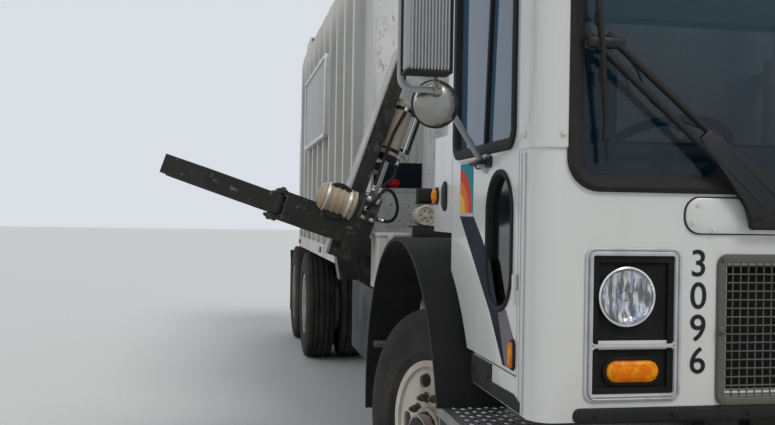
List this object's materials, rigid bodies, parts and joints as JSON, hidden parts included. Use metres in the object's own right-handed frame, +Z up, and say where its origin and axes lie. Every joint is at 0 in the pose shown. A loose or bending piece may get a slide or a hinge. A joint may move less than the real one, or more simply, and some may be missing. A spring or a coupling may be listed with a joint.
{
  "type": "refuse truck",
  "caption": "Side-loading refuse truck with a tilting cab over the engine, ribbed body, packer, lifting tailgate, tandem rear wheels and a rail arm with gripping fingers.",
  "frame": {"origin": "on the ground under the middle of the truck's overall box", "axes": "+X forward, +Y to the truck's left, +Z up"},
  "size_m": [8.97, 3.9713, 3.482],
  "materials": {
    "cab_white": "semi-gloss",
    "body_white": "weathered",
    "chassis_black": "matt",
    "arm_black": "worn gloss",
    "olive": "satin",
    "wheel_cream": "dusty",
    "steel": "worn",
    "alloy": "checker plate",
    "iron": "oily",
    "grey_tube": "satin",
    "lamp": "clear and amber lenses in grey frames",
    "dash": "grained",
    "trim": "woven",
    "black_rubber": "matt",
    "tyre": "dusty",
    "dark_glass": "tinted"
  },
  "bodies": {
    "chassis": {"frame_rails": "chassis_black", "cab_mounts": "chassis_black", "axles": "iron", "engine_block": "iron", "radiator": "alloy", "tanks": "chassis_black", "side_box": "body_white", "exhaust": "steel", "bumper": "chassis_black", "rubber_guards": "black_rubber", "cab_steps": "alloy", "body_floor": "body_white", "body_wall_right": "body_white", "body_wall_left": "body_white", "body_roof": "body_white", "body_front": "body_white", "hopper": "body_white", "arm_sleeve": "arm_black"},
    "cab": {"cab_front": "cab_white", "cab_frame": "cab_white", "cab_roof": "cab_white", "cab_floor": "cab_white", "cab_tunnel": "cab_white", "cab_glass": "dark_glass", "grille": "olive", "headlamps": "lamp", "wipers": "chassis_black", "cab_interior": "dash", "seats": "trim"},
    "door_right": {"door_right": "cab_white", "door_glass_right": "dark_glass", "mirror_right": "grey_tube"},
    "door_left": {"door_left": "cab_white", "door_glass_left": "dark_glass", "mirror_left": "grey_tube"},
    "knuckle_right": {"knuckle_right": "iron"},
    "knuckle_left": {"knuckle_left": "iron"},
    "tie_rod": {"tie_rod": "iron"},
    "front_wheel_right": {"front_tyre_right": "tyre", "front_wheel_right": "wheel_cream"},
    "front_wheel_left": {"front_tyre_left": "tyre", "front_wheel_left": "wheel_cream"},
    "fore_wheels_right": {"fore_tyres_right": "tyre", "fore_wheel_right": "wheel_cream"},
    "fore_wheels_left": {"fore_tyres_left": "tyre", "fore_wheel_left": "wheel_cream"},
    "aft_wheels_right": {"aft_tyres_right": "tyre", "aft_wheel_right": "wheel_cream"},
    "aft_wheels_left": {"aft_tyres_left": "tyre", "aft_wheel_left": "wheel_cream"},
    "packer": {"packer_blade": "body_white"},
    "tailgate": {"tailgate": "body_white"},
    "arm_mast": {"arm_rail": "arm_black", "lift_cylinder": "steel", "arm_valves": "iron", "arm_hoses": "black_rubber"},
    "carriage": {"arm_carriage": "arm_black"},
    "grip": {"grip_frame": "arm_black"},
    "finger_front": {"finger_front": "arm_black"},
    "finger_rear": {"finger_rear": "arm_black"}
  },
  "joints": [
    {"name": "steer_right", "type": "hinge", "parent": "chassis", "child": "knuckle_right", "pos_m": [2.855, -0.488, 0.531], "axis": [0, 0, 1], "range_deg": [-55.7, 14.3]},
    {"name": "steer_left", "type": "hinge", "parent": "chassis", "child": "knuckle_left", "pos_m": [2.855, 1.232, 0.531], "axis": [0, 0, 1], "range_deg": [-55.7, 14.3]},
    {"name": "tie_rod_slide", "type": "slide", "parent": "chassis", "child": "tie_rod", "axis": [0, 1, 0], "range_m": [-0.06, 0.2]},
    {"name": "front_spin_right", "type": "hinge", "parent": "knuckle_right", "child": "front_wheel_right", "pos_m": [2.91156, -0.63767, 0.531], "axis": [-0.3535, 0.9354, 0], "continuous": true},
    {"name": "front_spin_left", "type": "hinge", "parent": "knuckle_left", "child": "front_wheel_left", "pos_m": [2.79844, 1.38167, 0.531], "axis": [-0.3535, 0.9354, 0], "continuous": true},
    {"name": "fore_spin_right", "type": "hinge", "parent": "chassis", "child": "fore_wheels_right", "pos_m": [-2.335, -0.558, 0.531], "axis": [0, 1, 0], "continuous": true},
    {"name": "fore_spin_left", "type": "hinge", "parent": "chassis", "child": "fore_wheels_left", "pos_m": [-2.335, 1.302, 0.531], "axis": [0, 1, 0], "continuous": true},
    {"name": "aft_spin_right", "type": "hinge", "parent": "chassis", "child": "aft_wheels_right", "pos_m": [-3.705, -0.558, 0.531], "axis": [0, 1, 0], "continuous": true},
    {"name": "aft_spin_left", "type": "hinge", "parent": "chassis", "child": "aft_wheels_left", "pos_m": [-3.705, 1.302, 0.531], "axis": [0, 1, 0], "continuous": true},
    {"name": "cab_tilt", "type": "hinge", "parent": "chassis", "child": "cab", "pos_m": [4.23, 0.372, 0.8], "axis": [0, 1, 0], "range_deg": [0, 45]},
    {"name": "door_right_swing", "type": "hinge", "parent": "cab", "child": "door_right", "pos_m": [4.162, -0.787, 1.4], "axis": [0, 0, 1], "range_deg": [0, 70]},
    {"name": "door_left_swing", "type": "hinge", "parent": "cab", "child": "door_left", "pos_m": [4.162, 1.531, 1.4], "axis": [0, 0, -1], "range_deg": [0, 70]},
    {"name": "tailgate_lift", "type": "hinge", "parent": "chassis", "child": "tailgate", "pos_m": [-3.169, 0.372, 3.446], "axis": [0, 1, 0], "range_deg": [0, 80]},
    {"name": "packer_push", "type": "slide", "parent": "chassis", "child": "packer", "axis": [-1, 0, 0], "range_m": [0, 0.85]},
    {"name": "arm_reach", "type": "slide", "parent": "chassis", "child": "arm_mast", "axis": [0, -1, 0], "range_m": [0, 1.5]},
    {"name": "arm_lift", "type": "slide", "parent": "arm_mast", "child": "carriage", "axis": [0, 0.3239, 0.9461], "range_m": [-0.12, 1]},
    {"name": "arm_tip", "type": "hinge", "parent": "carriage", "child": "grip", "pos_m": [1.835, -1.22183, 1.45507], "axis": [-1, 0, 0], "range_deg": [-15.2, 125.2]},
    {"name": "finger_front_swing", "type": "hinge", "parent": "grip", "child": "finger_front", "pos_m": [2.125, -1.38267, 1.51013], "axis": [0, 0.3239, 0.9461], "range_deg": [-12, 50]},
    {"name": "finger_rear_swing", "type": "hinge", "parent": "grip", "child": "finger_rear", "pos_m": [1.545, -1.38267, 1.51013], "axis": [0, 0.3239, 0.9461], "range_deg": [-50, 12]}
  ],
  "couplings": [
    {"joint": "steer_left", "follows": "steer_right", "ratio": 1},
    {"joint": "tie_rod_slide", "follows": "steer_right", "m_per_rad": -0.2},
    {"joint": "arm_tip", "follows": "arm_lift", "rad_per_m": 2.1817},
    {"joint": "finger_rear_swing", "follows": "finger_front_swing", "ratio": -1}
  ]
}
